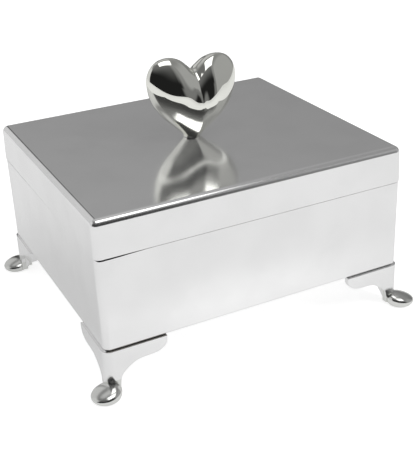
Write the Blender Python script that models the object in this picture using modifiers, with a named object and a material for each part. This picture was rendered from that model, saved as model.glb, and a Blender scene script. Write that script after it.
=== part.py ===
"""A plated metal trinket box with a hinged lid, a heart finial and four bracket feet.

+X runs along the long sides, -Y points to the front and +Z is up. The origin lies on
the ground under the middle of the box. All values are in metres.
"""

import math

import bmesh
import bpy
from mathutils import Matrix, Vector

# Body, lid and the gaps between pieces
BODY_LENGTH = 0.114
BODY_WIDTH = 0.099
BODY_HEIGHT = 0.0327
BODY_WALL = 0.0010
CORNER_RADIUS = 0.0023
BODY_EDGE_RADIUS = 0.0012
LID_HEIGHT = 0.0130
LID_WALL = 0.0010
LID_EDGE_RADIUS = 0.0023
LID_OVERHANG = 0.0002
LID_DRAFT = 0.0003
SEAM_GAP = 0.0003
SEAT_GAP = 0.0003
OVERRUN = 0.0010
WELD_DISTANCE = 0.000001
ROUND_STEPS = 5
EDGE_STEPS = 3
SMOOTH_ANGLE = math.radians(40)
LEVEL_SHARE = 0.9

# Bracket feet, measured from the body's corner
FOOT_HEIGHT = 0.0160
FOOT_WING = 0.0215
FOOT_PROUD = 0.0006
FOOT_WALL = 0.0024
FOOT_BOSS = 0.0080
TAPER_TOP_DROP = 0.0068
TAPER_BOTTOM_DROP = 0.0120
TAPER_TOP_REACH = 0.0125
TAPER_BOTTOM_REACH = 0.0034
PAD_RADIUS = 0.00495
PAD_THICKNESS = 0.0036
PAD_OFFSET = 0.00135
PAD_SOLE_RADIUS = 0.0034
LEG_BOTTOM = PAD_THICKNESS / 2
PAD_STEPS = 24
PAD_ARC_STEPS = 4
# Each pair is a share of the wing's length and a share of the foot's height, from the tip
OGEE_SHARES = (
    (1.000, 0.000),
    (0.998, 0.095),
    (0.978, 0.180),
    (0.935, 0.250),
    (0.842, 0.309),
    (0.721, 0.330),
    (0.577, 0.338),
    (0.470, 0.369),
    (0.372, 0.440),
    (0.284, 0.531),
    (0.219, 0.650),
    (0.198, 0.806),
    (0.198, 1.000),
)
OGEE_STEPS = 2

# Screws, their holes and the washer
SCREW_CLEARANCE = 0.0003
SCREW_SLOT_WIDTH = 0.0006
SCREW_SLOT_DEPTH = 0.0005
SCREW_STEPS = 20
FOOT_SCREW_INSET = 0.0053
FOOT_SCREW_RADIUS = 0.00125
FOOT_SCREW_DEPTH = 0.0060
FOOT_SCREW_HEAD_RADIUS = 0.0021
FOOT_SCREW_HEAD_HEIGHT = 0.0011
FINIAL_SCREW_RADIUS = 0.00125
FINIAL_SCREW_DEPTH = 0.0060
FINIAL_SCREW_HEAD_RADIUS = 0.0026
FINIAL_SCREW_HEAD_HEIGHT = 0.0016
WASHER_RADIUS = 0.0045
WASHER_THICKNESS = 0.0008

# Heart finial
HEART_WIDTH = 0.0346
HEART_HEIGHT = 0.0292
HEART_THICKNESS = 0.0172
HEART_CENTRE_SHARE = 0.36
HEART_LEAN = math.radians(3.0)
HEART_COLLAR_RADIUS = 0.0026
HEART_COLLAR_HEIGHT = 0.0012
HEART_STEPS = 44
HEART_RINGS = 16
HEART_LINE_STEPS = 6
# Right half of the outline from the tip to the notch: shares of half the width and of the height
HEART_SHARES = (
    (0.400, 0.130),
    (0.660, 0.275),
    (0.880, 0.462),
    (0.992, 0.690),
    (0.950, 0.852),
    (0.780, 0.965),
    (0.535, 1.000),
    (0.290, 0.966),
    (0.110, 0.888),
)
# The outline's tip lies under the lid's top and is cut off flat there
HEART_TIP_SHARE = -0.085
HEART_NOTCH_SHARE = 0.838
# Swellings of each face: across and up as in the outline, then spread and height shares
HEART_SWELL_SHARES = (
    (0.53, 0.630, 0.23, 0.32),
    (-0.53, 0.630, 0.23, 0.32),
    (0.00, 0.430, 0.14, 0.08),
)
HEART_CORE_SHARE = 0.68
# Shares of the height between which the heart thins towards its tip, and to what share
HEART_THIN_TOP_SHARE = 0.41
HEART_THIN_BOTTOM_SHARE = -0.20
HEART_TIP_THICKNESS_SHARE = 0.45
HEART_RIM_SHARE = 0.50

# Hinge, whose axis lies behind the seam
HINGE_LENGTH = 0.050
HINGE_KNUCKLES = 5
KNUCKLE_RADIUS = 0.0016
KNUCKLE_GAP = 0.0003
PIN_RADIUS = 0.0007
PIN_CLEARANCE = 0.00007
LEAF_THICKNESS = 0.0010
LEAF_REACH = 0.0075
LEAF_RELIEF = 0.0003
HEEL_LENGTH = 0.0030
HEEL_BELOW = 0.00023
HEEL_ABOVE = 0.0009
HINGE_STEPS = 24

# Velvet-covered lining boards
LINING_THICKNESS = 0.0012
LINING_GAP = 0.0003
LINING_RISE = 0.0020
FLOOR_PAD_THICKNESS = 0.0026
LID_PANEL_THICKNESS = 0.0015
LINING_EDGE_RADIUS = 0.0004
LINING_STEPS = 2

# Levels and places that follow from the sizes above
BODY_Z = FOOT_HEIGHT + SEAT_GAP
FLOOR_Z = BODY_Z + BODY_WALL
RIM_Z = BODY_Z + BODY_HEIGHT
LID_Z = RIM_Z + SEAM_GAP
TOP_Z = LID_Z + LID_HEIGHT
HINGE_Z = RIM_Z + SEAM_GAP / 2
HINGE_Y = BODY_WIDTH / 2 + LID_OVERHANG + SEAT_GAP + KNUCKLE_RADIUS
HEART_Z = TOP_Z + SEAT_GAP
WASHER_Z = TOP_Z - LID_WALL - SEAT_GAP - WASHER_THICKNESS
FINIAL_SCREW_Z = WASHER_Z - SEAT_GAP - FINIAL_SCREW_HEAD_HEIGHT
LID_PANEL_Z = FINIAL_SCREW_Z - SEAT_GAP - LID_PANEL_THICKNESS
INNER_LENGTH = BODY_LENGTH - 2 * BODY_WALL
INNER_WIDTH = BODY_WIDTH - 2 * BODY_WALL
SCREW_HOLE_RADIUS = FOOT_SCREW_RADIUS + SCREW_CLEARANCE
FINIAL_HOLE_RADIUS = FINIAL_SCREW_RADIUS + SCREW_CLEARANCE
CORNERS = {
    "front_left": (-1, -1),
    "front_right": (1, -1),
    "back_left": (-1, 1),
    "back_right": (1, 1),
}


def clear_scene():
    for obj in list(bpy.data.objects):
        bpy.data.objects.remove(obj, do_unlink=True)


def new_collection(name):
    collection = bpy.data.collections.new(name)
    bpy.context.scene.collection.children.link(collection)
    return collection


def new_material(name, colour, roughness, metallic):
    material = bpy.data.materials.new(name)
    material.use_nodes = True
    shader = material.node_tree.nodes["Principled BSDF"]
    shader.inputs["Base Color"].default_value = (*colour, 1.0)
    shader.inputs["Roughness"].default_value = roughness
    shader.inputs["Metallic"].default_value = metallic
    return material


clear_scene()
PARTS = new_collection("heart_jewelry_box")
CUTTERS = new_collection("cutters")
CUTTERS.hide_render = True
SILVER = new_material("silver_plate", (0.90, 0.89, 0.87), 0.12, 1.0)
STEEL = new_material("screw_steel", (0.62, 0.62, 0.64), 0.30, 1.0)
VELVET = new_material("velvet", (0.030, 0.031, 0.035), 0.95, 0.0)


def add_object(name, data, collection):
    obj = bpy.data.objects.new(name, data)
    collection.objects.link(obj)
    return obj


def object_from(name, shape, collection=CUTTERS):
    """Turns a bmesh into an object and frees it."""
    bmesh.ops.recalc_face_normals(shape, faces=shape.faces)
    mesh = bpy.data.meshes.new(name)
    shape.to_mesh(mesh)
    shape.free()
    obj = add_object(name, mesh, collection)
    if collection is CUTTERS:
        obj.hide_render = True
        obj.display_type = "WIRE"
    return obj


def finish_part(obj, name, material, place=(0, 0, 0), parent=None):
    """Names a piece, gives it its material and puts it at its place in the world."""
    obj.name = name
    obj.data.name = name
    obj.data.materials.clear()
    obj.data.materials.append(material)
    obj.data.shade_smooth()
    obj.data.set_sharp_from_angle(angle=SMOOTH_ANGLE)
    if parent:
        obj.parent = parent
        place = Vector(place) - parent.location
    obj.location = place
    return obj


def block(low, high):
    """A box between two corners."""
    low, high = Vector(low), Vector(high)
    shape = bmesh.new()
    bmesh.ops.create_cube(shape, size=1.0)
    bmesh.ops.scale(shape, vec=high - low, verts=shape.verts)
    bmesh.ops.translate(shape, vec=(low + high) / 2, verts=shape.verts)
    return shape


def round_edges(shape, radius, steps, chosen):
    edges = [edge for edge in shape.edges if chosen(edge)]
    bmesh.ops.bevel(
        shape,
        geom=edges,
        offset=radius,
        segments=steps,
        profile=0.5,
        affect="EDGES",
        clamp_overlap=True,
    )


def is_upright(edge):
    """True for an edge that climbs more than it runs."""
    run = edge.verts[1].co - edge.verts[0].co
    return abs(run.z) > math.hypot(run.x, run.y)


def lies_at(edge, height):
    return all(abs(vert.co.z - height) < WELD_DISTANCE for vert in edge.verts)


def drop_face(shape, upward):
    """Opens a box at its top or its bottom."""
    shape.normal_update()
    shape.faces.ensure_lookup_table()
    chosen = [face for face in shape.faces if face.normal.z * upward > LEVEL_SHARE]
    bmesh.ops.delete(shape, geom=chosen, context="FACES_ONLY")


def cylinder(radius, low, high, steps, centre=(0, 0)):
    shape = bmesh.new()
    middle = Vector((centre[0], centre[1], (low + high) / 2))
    bmesh.ops.create_cone(
        shape,
        cap_ends=True,
        segments=steps,
        radius1=radius,
        radius2=radius,
        depth=high - low,
        matrix=Matrix.Translation(middle),
    )
    return shape


def baked(obj):
    """The mesh that an object's modifiers make."""
    graph = bpy.context.evaluated_depsgraph_get()
    graph.update()
    return bpy.data.meshes.new_from_object(obj.evaluated_get(graph))


def turned(name, profile, steps):
    """Turns a profile of radius and height pairs, listed from its top down, about Z."""
    shape = bmesh.new()
    verts = [shape.verts.new((radius, 0, height)) for radius, height in profile]
    for first, second in zip(verts, verts[1:]):
        shape.edges.new((first, second))
    mesh = bpy.data.meshes.new(name)
    shape.to_mesh(mesh)
    shape.free()
    obj = add_object(name, mesh, CUTTERS)
    obj.hide_render = True
    obj.display_type = "WIRE"
    screw = obj.modifiers.new("turn", "SCREW")
    screw.steps = steps
    screw.render_steps = steps
    screw.use_merge_vertices = True
    screw.merge_threshold = WELD_DISTANCE
    return obj


def prism(name, outline, thickness, matrix):
    """A flat outline given a thickness, as a mesh that can cut or join."""
    curve = bpy.data.curves.new(name, "CURVE")
    curve.dimensions = "2D"
    curve.fill_mode = "BOTH"
    curve.extrude = thickness / 2
    spline = curve.splines.new("POLY")
    spline.points.add(len(outline) - 1)
    for point, (across, up) in zip(spline.points, outline):
        point.co = (across, up, 0, 1)
    spline.use_cyclic_u = True
    drawn = add_object(name, curve, CUTTERS)
    shape = bmesh.new()
    shape.from_mesh(baked(drawn))
    bpy.data.objects.remove(drawn, do_unlink=True)
    bmesh.ops.remove_doubles(shape, verts=shape.verts, dist=WELD_DISTANCE)
    bmesh.ops.transform(shape, matrix=matrix, verts=shape.verts)
    return object_from(name, shape)


def boolean(obj, other, operation="DIFFERENCE"):
    modifier = obj.modifiers.new(f"{operation.lower()}_{other.name}", "BOOLEAN")
    modifier.object = other
    modifier.operation = operation
    modifier.solver = "EXACT"


def smooth_line(points, steps):
    """A Catmull-Rom line through the points, with steps parts between each two."""
    ends = [points[0], *points, points[-1]]
    line = [Vector(points[0])]
    for index in range(len(points) - 1):
        a, b, c, d = (Vector(point) for point in ends[index : index + 4])
        for step in range(1, steps + 1):
            t = step / steps
            line.append(
                (2 * b + (c - a) * t + (2 * a - 5 * b + 4 * c - d) * t**2
                 + (3 * b - a - 3 * c + d) * t**3) / 2
            )
    return line


# Body and lid

def make_body():
    """A tray open at the top, with holes for the foot screws in its floor."""
    half = Vector((BODY_LENGTH / 2, BODY_WIDTH / 2, 0))
    shape = block(-half, half + Vector((0, 0, BODY_HEIGHT)))
    drop_face(shape, 1)
    round_edges(shape, CORNER_RADIUS, ROUND_STEPS, is_upright)
    round_edges(shape, BODY_EDGE_RADIUS, EDGE_STEPS, lambda edge: lies_at(edge, 0))
    body = object_from("body_shell", shape, PARTS)
    add_wall(body, BODY_WALL)
    for name, signs in CORNERS.items():
        x, y = screw_place(signs)
        hole = cylinder(SCREW_HOLE_RADIUS, -OVERRUN, BODY_WALL + OVERRUN, SCREW_STEPS, (x, y))
        boolean(body, raised(object_from(f"floor_hole_{name}", hole), BODY_Z))
    return finish_part(body, "body_shell", SILVER, (0, 0, BODY_Z))


def add_wall(obj, thickness):
    wall = obj.modifiers.new("wall", "SOLIDIFY")
    wall.thickness = thickness
    wall.offset = -1
    wall.use_even_offset = True


def raised(obj, height):
    obj.location.z = height
    return obj


def screw_place(signs):
    """Where a foot's screw stands, in plan."""
    x = signs[0] * (BODY_LENGTH / 2 - FOOT_SCREW_INSET)
    y = signs[1] * (BODY_WIDTH / 2 - FOOT_SCREW_INSET)
    return x, y


def make_lid(axis):
    """A shallow cover, open below, with a hole for the finial's screw."""
    half = Vector((BODY_LENGTH / 2 + LID_OVERHANG, BODY_WIDTH / 2 + LID_OVERHANG, 0))
    shape = block(-half, half + Vector((0, 0, LID_HEIGHT)))
    for vert in shape.verts:
        if vert.co.z > LID_HEIGHT / 2:
            vert.co.x -= math.copysign(LID_DRAFT, vert.co.x)
            vert.co.y -= math.copysign(LID_DRAFT, vert.co.y)
    drop_face(shape, -1)
    round_edges(
        shape,
        min(CORNER_RADIUS, LID_EDGE_RADIUS),
        ROUND_STEPS,
        lambda edge: is_upright(edge) or lies_at(edge, LID_HEIGHT),
    )
    lid = object_from("lid_shell", shape, PARTS)
    add_wall(lid, LID_WALL)
    hole = cylinder(
        FINIAL_HOLE_RADIUS, LID_HEIGHT - LID_WALL - OVERRUN, LID_HEIGHT + OVERRUN, SCREW_STEPS
    )
    boolean(lid, raised(object_from("lid_hole", hole), LID_Z))
    return finish_part(lid, "lid_shell", SILVER, (0, 0, LID_Z), axis)


# Feet, drawn for the corner at +X and +Y and mirrored to the others

def ogee_outline():
    """What the ogee edge leaves out, as inward distance and height."""
    points = [
        (-along * FOOT_WING, FOOT_HEIGHT * (1 - down)) for along, down in OGEE_SHARES
    ]
    line = [tuple(point) for point in smooth_line(points, OGEE_STEPS)]
    far = -FOOT_WING - 3 * OVERRUN
    line.append((line[-1][0], -OVERRUN))
    line.append((far, -OVERRUN))
    line.append((far, FOOT_HEIGHT + OVERRUN))
    line.append((line[0][0], FOOT_HEIGHT + OVERRUN))
    return line


def taper_outline():
    """What the slope behind the leg leaves out, along the diagonal."""
    far = TAPER_TOP_REACH + 3 * OVERRUN
    top = FOOT_HEIGHT - TAPER_TOP_DROP
    return [
        (-TAPER_TOP_REACH, top),
        (-TAPER_BOTTOM_REACH, FOOT_HEIGHT - TAPER_BOTTOM_DROP),
        (-TAPER_BOTTOM_REACH, -OVERRUN),
        (-far, -OVERRUN),
        (-far, top),
    ]


def pad_profile():
    """The round pad's dome, its rim and its flat sole."""
    middle = PAD_THICKNESS / 2
    profile = [(0, PAD_THICKNESS)]
    for step in range(1, PAD_ARC_STEPS + 1):
        angle = math.pi / 2 * (1 - step / PAD_ARC_STEPS)
        rise = (PAD_THICKNESS - middle) * math.sin(angle)
        profile.append((PAD_RADIUS * math.cos(angle), middle + rise))
    for step in range(1, PAD_ARC_STEPS + 1):
        angle = math.pi / 2 * step / PAD_ARC_STEPS
        reach = (PAD_RADIUS - PAD_SOLE_RADIUS) * math.cos(angle)
        profile.append((PAD_SOLE_RADIUS + reach, middle - middle * math.sin(angle)))
    profile.append((0, 0))
    return profile


def foot_cutters():
    """The shapes cut from a square block to leave two wings, a boss and a leg."""
    width = FOOT_WING + FOOT_PROUD + 6 * OVERRUN
    along_x = Matrix.Rotation(math.pi / 2, 4, "X")
    along_y = Matrix.Rotation(math.pi / 2, 4, "Z") @ along_x
    diagonal = Matrix.Rotation(math.pi / 4, 4, "Z") @ along_x
    far = -FOOT_WING - 3 * OVERRUN
    inner = FOOT_PROUD - FOOT_WALL
    boss = -FOOT_BOSS
    ceiling = FOOT_HEIGHT + OVERRUN
    yield prism("ogee_x", ogee_outline(), 2 * width, along_x)
    yield prism("ogee_y", ogee_outline(), 2 * width, along_y)
    yield object_from("hollow_x", block((far, far, -OVERRUN), (boss, inner, ceiling)))
    yield object_from("hollow_y", block((far, far, -OVERRUN), (inner, boss, ceiling)))
    yield prism("taper", taper_outline(), 2 * width, diagonal)
    yield object_from(
        "foot_bore",
        cylinder(
            SCREW_HOLE_RADIUS,
            FOOT_HEIGHT - FOOT_SCREW_DEPTH - SCREW_CLEARANCE,
            ceiling,
            SCREW_STEPS,
            (-FOOT_SCREW_INSET, -FOOT_SCREW_INSET),
        ),
    )


def foot_mesh():
    far = -FOOT_WING - 2 * OVERRUN
    shape = block((far, far, LEG_BOTTOM), (FOOT_PROUD, FOOT_PROUD, FOOT_HEIGHT))
    round_edges(
        shape,
        CORNER_RADIUS + FOOT_PROUD,
        ROUND_STEPS,
        lambda edge: is_upright(edge) and edge.verts[0].co.x > 0 and edge.verts[0].co.y > 0,
    )
    foot = object_from("foot_block", shape)
    for cutter in foot_cutters():
        boolean(foot, cutter)
    pad = turned("pad", pad_profile(), PAD_STEPS)
    pad.location = (PAD_OFFSET, PAD_OFFSET, 0)
    boolean(foot, pad, "UNION")
    return baked(foot)


def make_feet():
    drawn = foot_mesh()
    for name, (x_sign, y_sign) in CORNERS.items():
        shape = bmesh.new()
        shape.from_mesh(drawn)
        bmesh.ops.scale(shape, vec=(x_sign, y_sign, 1), verts=shape.verts)
        if x_sign * y_sign < 0:
            bmesh.ops.reverse_faces(shape, faces=shape.faces)
        foot = object_from("foot", shape, PARTS)
        corner = (x_sign * BODY_LENGTH / 2, y_sign * BODY_WIDTH / 2, 0)
        finish_part(foot, f"foot_{name}", SILVER, corner)


# Screws and washer

def screw(name, radius, reach, head_radius, head_height, head_down):
    """A slotted screw about Z whose head's seat is at the origin."""
    dome = head_height / 3
    profile = [
        (0, head_height),
        (head_radius - dome, head_height),
        (head_radius, head_height - dome),
        (head_radius, 0),
        (radius, 0),
        (radius, -reach + dome),
        (radius - dome, -reach),
        (0, -reach),
    ]
    drawn = turned(f"{name}_turned", profile, SCREW_STEPS)
    slot = object_from(
        f"{name}_slot",
        block(
            (-head_radius - OVERRUN, -SCREW_SLOT_WIDTH / 2, head_height - SCREW_SLOT_DEPTH),
            (head_radius + OVERRUN, SCREW_SLOT_WIDTH / 2, head_height + OVERRUN),
        ),
    )
    boolean(drawn, slot)
    shape = bmesh.new()
    shape.from_mesh(baked(drawn))
    if head_down:
        bmesh.ops.rotate(shape, matrix=Matrix.Rotation(math.pi, 3, "X"), verts=shape.verts)
    return object_from(name, shape, PARTS)


def make_foot_screws():
    reach = BODY_WALL + 2 * SEAT_GAP + FOOT_SCREW_DEPTH
    for name, signs in CORNERS.items():
        piece = screw(
            f"foot_screw_{name}",
            FOOT_SCREW_RADIUS,
            reach,
            FOOT_SCREW_HEAD_RADIUS,
            FOOT_SCREW_HEAD_HEIGHT,
            False,
        )
        x, y = screw_place(signs)
        finish_part(piece, f"foot_screw_{name}", STEEL, (x, y, FLOOR_Z + SEAT_GAP))


def make_finial_fixings(axis):
    seat = FINIAL_SCREW_Z + FINIAL_SCREW_HEAD_HEIGHT
    piece = screw(
        "finial_screw",
        FINIAL_SCREW_RADIUS,
        HEART_Z - seat + FINIAL_SCREW_DEPTH,
        FINIAL_SCREW_HEAD_RADIUS,
        FINIAL_SCREW_HEAD_HEIGHT,
        True,
    )
    finish_part(piece, "finial_screw", STEEL, (0, 0, seat), axis)
    disc = cylinder(WASHER_RADIUS, 0, WASHER_THICKNESS, SCREW_STEPS)
    washer = object_from("finial_washer", disc, PARTS)
    hole = cylinder(FINIAL_HOLE_RADIUS, -OVERRUN, WASHER_THICKNESS + OVERRUN, SCREW_STEPS)
    boolean(washer, raised(object_from("washer_hole", hole), WASHER_Z))
    finish_part(washer, "finial_washer", STEEL, (0, 0, WASHER_Z), axis)


# Heart

def heart_outline():
    """The whole outline, anticlockwise from the tip, with the angle of each point."""
    half = HEART_WIDTH / 2
    right = [(across * half, up * HEART_HEIGHT) for across, up in HEART_SHARES]
    left = [(-across, up) for across, up in reversed(right)]
    tip = (0, HEART_TIP_SHARE * HEART_HEIGHT)
    notch = (0, HEART_NOTCH_SHARE * HEART_HEIGHT)
    return smooth_line([tip, *right, notch, *left, tip], HEART_LINE_STEPS)


def heart_reach(outline, angle):
    """How far the outline lies from the heart's middle in one direction."""
    centre = Vector((0, HEART_CENTRE_SHARE * HEART_HEIGHT))
    ray = Vector((math.cos(angle), math.sin(angle)))
    best = 0
    for first, second in zip(outline, outline[1:]):
        a, b = first - centre, second - centre
        run = b - a
        cross = ray.x * run.y - ray.y * run.x
        if cross == 0:
            continue
        share = (a.y * ray.x - a.x * ray.y) / -cross
        distance = (a.x * run.y - a.y * run.x) / cross
        if 0 <= share <= 1 and distance > best:
            best = distance
    return best


def heart_swell(x, z):
    """Half the heart's thickness at a place on its face, before the rim rounds off."""
    half = HEART_WIDTH / 2
    share = HEART_CORE_SHARE
    for across, up, spread, height in HEART_SWELL_SHARES:
        away = math.hypot(x - across * half, z - up * HEART_HEIGHT)
        share += height * math.exp(-((away / (spread * HEART_WIDTH)) ** 2))
    span = HEART_THIN_TOP_SHARE - HEART_THIN_BOTTOM_SHARE
    climb = (z / HEART_HEIGHT - HEART_THIN_BOTTOM_SHARE) / span
    climb = min(max(climb, 0), 1)
    least = HEART_TIP_THICKNESS_SHARE
    share *= least + (1 - least) * climb * climb * (3 - 2 * climb)
    return HEART_THICKNESS / 2 * share


def heart_shape():
    """A ball drawn out to the heart's outline and pressed to its thickness."""
    shape = bmesh.new()
    bmesh.ops.create_uvsphere(
        shape,
        u_segments=HEART_STEPS,
        v_segments=HEART_RINGS,
        radius=1.0,
        matrix=Matrix.Rotation(math.pi / 2, 4, "X"),
    )
    outline = heart_outline()
    reaches = {}
    for vert in shape.verts:
        share = min(math.hypot(vert.co.x, vert.co.z), 1) ** HEART_RIM_SHARE
        angle = round(math.atan2(vert.co.z, vert.co.x), 5) if share > 1e-4 else 0
        if angle not in reaches:
            reaches[angle] = heart_reach(outline, angle)
        x = reaches[angle] * share * math.cos(angle)
        z = HEART_CENTRE_SHARE * HEART_HEIGHT + reaches[angle] * share * math.sin(angle)
        vert.co = Vector((x, vert.co.y * heart_swell(x, z), z))
    return shape


def make_heart(axis):
    shape = heart_shape()
    lean = Matrix.Rotation(HEART_LEAN, 3, "Y")
    bmesh.ops.rotate(shape, matrix=lean, verts=shape.verts)
    heart = object_from("heart_finial", shape, PARTS)
    collar = object_from(
        "heart_collar", cylinder(HEART_COLLAR_RADIUS, 0, HEART_COLLAR_HEIGHT, SCREW_STEPS)
    )
    boolean(heart, raised(collar, HEART_Z), "UNION")
    reach = HEART_WIDTH
    base = object_from("heart_base", block((-reach, -reach, -reach), (reach, reach, 0)))
    boolean(heart, raised(base, HEART_Z))
    bore_top = FINIAL_SCREW_DEPTH + SCREW_CLEARANCE
    bore = object_from(
        "heart_bore", cylinder(FINIAL_HOLE_RADIUS, -OVERRUN, bore_top, SCREW_STEPS)
    )
    boolean(heart, raised(bore, HEART_Z))
    finish_part(heart, "heart_finial", SILVER, (0, 0, HEART_Z), axis)


# Hinge

def knuckle_span(index):
    """Where one knuckle starts and ends along the hinge."""
    pitch = HINGE_LENGTH / HINGE_KNUCKLES
    start = -HINGE_LENGTH / 2 + index * pitch
    return start + KNUCKLE_GAP / 2, start + pitch - KNUCKLE_GAP / 2


def along_hinge(shape):
    bmesh.ops.rotate(shape, matrix=Matrix.Rotation(math.pi / 2, 3, "Y"), verts=shape.verts)
    return shape


def make_leaf(name, rows, up, inner_y, heel, axis):
    """A leaf with its knuckles; up is 1 for the lid's leaf and -1 for the body's."""
    relief = KNUCKLE_RADIUS + LEAF_RELIEF
    outer_y = inner_y + LEAF_THICKNESS
    half = HINGE_LENGTH / 2
    levels = sorted((up * relief, up * LEAF_REACH))
    leaf = object_from(name, block((-half, inner_y, levels[0]), (half, outer_y, levels[1])), PARTS)
    place = Vector((0, HINGE_Y, HINGE_Z))
    for index in rows:
        start, end = knuckle_span(index)
        levels = sorted((0, up * (relief + LEAF_THICKNESS)))
        joined = [
            block((start, inner_y, levels[0]), (end, outer_y, levels[1])),
            along_hinge(cylinder(KNUCKLE_RADIUS, start, end, HINGE_STEPS)),
        ]
        if heel:
            joined.append(block((start, 0, -HEEL_BELOW), (end, HEEL_LENGTH, HEEL_ABOVE)))
        for count, shape in enumerate(joined):
            piece = object_from(f"{name}_{index}_{count}", shape)
            piece.location = place
            boolean(leaf, piece, "UNION")
    bore = along_hinge(
        cylinder(PIN_RADIUS + PIN_CLEARANCE, -half - OVERRUN, half + OVERRUN, HINGE_STEPS)
    )
    hole = object_from(f"{name}_bore", bore)
    hole.location = place
    boolean(leaf, hole)
    return finish_part(leaf, name, SILVER, place, axis)


def make_hinge(axis):
    body_face = BODY_WIDTH / 2 + SEAT_GAP - HINGE_Y
    lid_face = body_face + LID_OVERHANG
    make_leaf("hinge_body_leaf", range(0, HINGE_KNUCKLES, 2), -1, body_face, False, None)
    make_leaf("hinge_lid_leaf", range(1, HINGE_KNUCKLES, 2), 1, lid_face, True, axis)
    half = HINGE_LENGTH / 2
    pin = object_from(
        "hinge_pin", along_hinge(cylinder(PIN_RADIUS, -half, half, HINGE_STEPS)), PARTS
    )
    finish_part(pin, "hinge_pin", STEEL, (0, HINGE_Y, HINGE_Z))


# Lining

def board(name, low, high):
    """A thin board wrapped in velvet, with softly rounded edges."""
    low, high = Vector(low), Vector(high)
    place = Vector(((low.x + high.x) / 2, (low.y + high.y) / 2, low.z))
    obj = object_from(name, block(low - place, high - place), PARTS)
    edge = obj.modifiers.new("edge", "BEVEL")
    edge.width = LINING_EDGE_RADIUS
    edge.segments = LINING_STEPS
    return finish_part(obj, name, VELVET, place)


def make_wall_linings():
    bottom = FLOOR_Z + LINING_GAP
    top = RIM_Z + LINING_RISE
    corner = CORNER_RADIUS - BODY_WALL
    long_half = INNER_LENGTH / 2 - corner
    outer_y = INNER_WIDTH / 2 - LINING_GAP
    inner_y = outer_y - LINING_THICKNESS
    outer_x = INNER_LENGTH / 2 - LINING_GAP
    inner_x = outer_x - LINING_THICKNESS
    short_half = inner_y - LINING_GAP
    board("lining_front", (-long_half, -outer_y, bottom), (long_half, -inner_y, top))
    board("lining_back", (-long_half, inner_y, bottom), (long_half, outer_y, top))
    board("lining_left", (-outer_x, -short_half, bottom), (-inner_x, short_half, top))
    board("lining_right", (inner_x, -short_half, bottom), (outer_x, short_half, top))


def make_floor_pad():
    """The floor's board, hollowed below over the heads of the foot screws."""
    inset = 2 * LINING_GAP + LINING_THICKNESS
    half_x = INNER_LENGTH / 2 - inset
    half_y = INNER_WIDTH / 2 - inset
    bottom = FLOOR_Z + LINING_GAP
    top = bottom + FLOOR_PAD_THICKNESS
    pad = board("lining_floor", (-half_x, -half_y, bottom), (half_x, half_y, top))
    recess_top = FOOT_SCREW_HEAD_HEIGHT + SEAT_GAP
    for name, signs in CORNERS.items():
        shape = cylinder(
            FOOT_SCREW_HEAD_RADIUS + SCREW_CLEARANCE,
            -OVERRUN,
            recess_top,
            SCREW_STEPS,
            screw_place(signs),
        )
        boolean(pad, raised(object_from(f"pad_recess_{name}", shape), FLOOR_Z + SEAT_GAP))


def make_lid_panel(axis):
    """The lid's board, whose corners follow the inside of the lid."""
    inset = LID_WALL + LINING_GAP + LID_DRAFT - LID_OVERHANG
    half = Vector((BODY_LENGTH / 2 - inset, BODY_WIDTH / 2 - inset, 0))
    shape = block(-half, half + Vector((0, 0, LID_PANEL_THICKNESS)))
    round_edges(shape, CORNER_RADIUS - LID_WALL, LINING_STEPS, is_upright)
    panel = object_from("lid_lining", shape, PARTS)
    finish_part(panel, "lid_lining", VELVET, (0, 0, LID_PANEL_Z), axis)


def make_box():
    axis = add_object("lid_axis", None, PARTS)
    axis.location = (0, HINGE_Y, HINGE_Z)
    make_body()
    make_feet()
    make_foot_screws()
    make_lid(axis)
    make_heart(axis)
    make_finial_fixings(axis)
    make_hinge(axis)
    make_wall_linings()
    make_floor_pad()
    make_lid_panel(axis)


make_box()
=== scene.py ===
"""Looks of a silver-plated trinket box with a heart finial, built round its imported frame.

Lengths are in metres. +X runs along the long sides, -Y points to the front and +Z is up.
"""

import math

import bmesh
import bpy
from mathutils import Matrix, Vector, noise


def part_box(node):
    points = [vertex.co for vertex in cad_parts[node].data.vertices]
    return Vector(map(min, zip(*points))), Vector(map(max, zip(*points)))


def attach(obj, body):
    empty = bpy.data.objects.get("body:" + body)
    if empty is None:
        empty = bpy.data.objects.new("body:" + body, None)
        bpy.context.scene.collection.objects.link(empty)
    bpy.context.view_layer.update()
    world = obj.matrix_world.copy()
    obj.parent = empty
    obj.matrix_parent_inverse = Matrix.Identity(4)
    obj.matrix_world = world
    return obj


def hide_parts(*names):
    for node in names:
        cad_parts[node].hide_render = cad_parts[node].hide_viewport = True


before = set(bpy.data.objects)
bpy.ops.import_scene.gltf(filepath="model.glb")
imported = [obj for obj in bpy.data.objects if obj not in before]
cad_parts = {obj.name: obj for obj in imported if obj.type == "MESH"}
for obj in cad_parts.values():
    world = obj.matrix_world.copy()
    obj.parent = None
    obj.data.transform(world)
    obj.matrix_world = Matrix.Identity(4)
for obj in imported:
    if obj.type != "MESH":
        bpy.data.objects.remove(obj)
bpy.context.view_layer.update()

# Camera, as fitted to the straight edges of the box in the photo
CAMERA_PLACE = (-0.13141, -0.28328, 0.17991)
CAMERA_AZIMUTH = math.radians(-26.6571)
CAMERA_ELEVATION = math.radians(26.0471)
CAMERA_ROLL = math.radians(-2.1583)
CAMERA_LENS = 71.727
CAMERA_SHIFT = (-0.02795, -0.01947)
CAMERA_CLIP_START = 0.01

# Body and lid
WALL = 0.0010
CORNER_RADIUS = 0.0023
BODY_EDGE_RADIUS = 0.0008
LID_EDGE_RADIUS = 0.0023
LID_DRAFT = 0.0003
RIM_BEVEL = 0.00012
SEAM_CLOSING = 0.00005
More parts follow.
